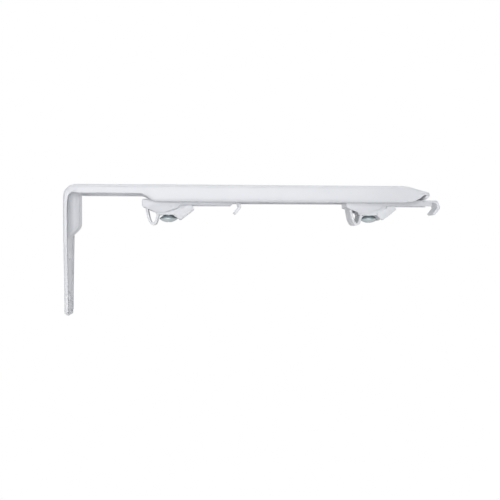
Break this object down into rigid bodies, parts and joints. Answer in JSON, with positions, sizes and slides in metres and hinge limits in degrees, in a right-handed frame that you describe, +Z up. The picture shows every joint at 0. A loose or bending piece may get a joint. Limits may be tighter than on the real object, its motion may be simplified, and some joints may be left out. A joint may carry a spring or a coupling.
{
  "type": "double curtain rail bracket",
  "caption": "White steel wall bracket whose long channel arm carries sliding snap-in clips for curtain rails, each with a hook, sprung latch and lock screw.",
  "frame": {"origin": "middle of the two wall screw holes, on the wall face of the leg", "axes": "+X out from the wall along the arm, +Y across the arm along the curtain rails, +Z up"},
  "size_m": [0.2184, 0.028, 0.074],
  "materials": {
    "white_enamel": "gloss white enamel on pressed steel",
    "natural_nylon": "natural moulded nylon, slightly translucent",
    "bright_zinc_screw": "bright zinc plate with a blue passivate",
    "zinc_plated_steel": "zinc plated steel"
  },
  "bodies": {
    "bracket": {"arm_bracket": "white_enamel"},
    "rear_clip": {"rear_clip_plate": "white_enamel", "rear_runner_plate": "zinc_plated_steel", "rear_lock_nut": "zinc_plated_steel", "rear_guide_rivet": "zinc_plated_steel", "rear_latch_spring_loop": "natural_nylon"},
    "rear_latch": {"rear_latch": "natural_nylon"},
    "rear_screw": {"rear_lock_screw": "bright_zinc_screw"},
    "front_clip": {"front_clip_plate": "white_enamel", "front_runner_plate": "zinc_plated_steel", "front_lock_nut": "zinc_plated_steel", "front_guide_rivet": "zinc_plated_steel", "front_latch_spring_loop": "natural_nylon"},
    "front_latch": {"front_latch": "natural_nylon"},
    "front_screw": {"front_lock_screw": "bright_zinc_screw"}
  },
  "joints": [
    {"name": "rear_clip_slide", "type": "slide", "parent": "bracket", "child": "rear_clip", "axis": [1, 0, 0], "range_m": [0, 0.025]},
    {"name": "rear_latch_push", "type": "slide", "parent": "rear_clip", "child": "rear_latch", "axis": [1, 0, 0], "range_m": [-0.003, 0], "stiffness_N_per_m": 500, "springref_m": 0.0005, "deforming": ["rear_latch_spring_loop"]},
    {"name": "rear_screw_turn", "type": "hinge", "parent": "rear_clip", "child": "rear_screw", "pos_m": [0.058, 0, 0.033], "axis": [0, 0, 1], "range_deg": [-540, 0]},
    {"name": "front_clip_slide", "type": "slide", "parent": "bracket", "child": "front_clip", "axis": [1, 0, 0], "range_m": [-0.025, 0]},
    {"name": "front_latch_push", "type": "slide", "parent": "front_clip", "child": "front_latch", "axis": [1, 0, 0], "range_m": [-0.003, 0], "stiffness_N_per_m": 500, "springref_m": 0.0005, "deforming": ["front_latch_spring_loop"]},
    {"name": "front_screw_turn", "type": "hinge", "parent": "front_clip", "child": "front_screw", "pos_m": [0.1764, 0, 0.033], "axis": [0, 0, 1], "range_deg": [-540, 0]}
  ]
}
